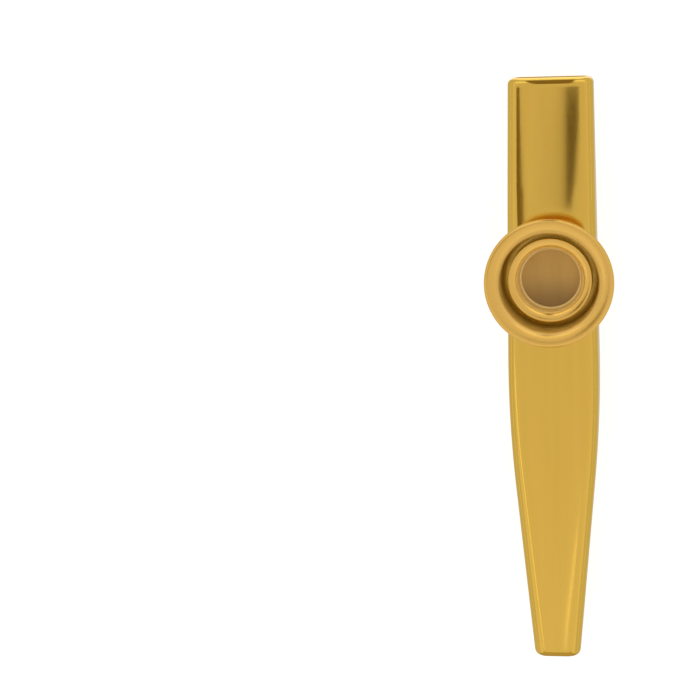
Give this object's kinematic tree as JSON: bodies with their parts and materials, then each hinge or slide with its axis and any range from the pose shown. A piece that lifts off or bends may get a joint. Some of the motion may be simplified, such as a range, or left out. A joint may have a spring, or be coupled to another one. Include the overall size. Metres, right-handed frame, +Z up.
{
  "type": "kazoo",
  "caption": "Gold metal kazoo: flattened tapering body with turned-in lips, and a flared screw cap that clamps a thin membrane on a threaded neck.",
  "frame": {"origin": "on the resting plane under the middle of the length, in the plane of symmetry", "axes": "+Z up out of the turret, +Y along the body to the mouth end, +X across"},
  "size_m": [0.0254, 0.12, 0.0254],
  "materials": {
    "sheet_gold": "gold anodised, satin gloss",
    "turned_gold": "gold anodised, turned",
    "spun_gold": "gold anodised, spun, glossy",
    "membrane_ring": "milky, satin",
    "membrane_film": "thin hazy film"
  },
  "bodies": {
    "body": {"upper_shell": "sheet_gold", "lower_shell": "sheet_gold", "threaded_neck": "turned_gold"},
    "membrane": {"membrane_film": "membrane_film", "membrane_ring": "membrane_ring"},
    "cap": {"clamp_ring": "turned_gold", "flared_bell": "spun_gold"}
  },
  "joints": [
    {"name": "membrane_lift", "type": "slide", "parent": "body", "child": "membrane", "axis": [0, 0, 1], "range_m": [0, 0.0023]},
    {"name": "cap_unscrew", "type": "hinge", "parent": "membrane", "child": "cap", "pos_m": [0, 0.0207, 0.0165], "axis": [0, 0, 1], "range_deg": [0, 1080]}
  ],
  "couplings": [
    {"joint": "membrane_lift", "follows": "cap_unscrew", "m_per_rad": 0.00011937}
  ]
}
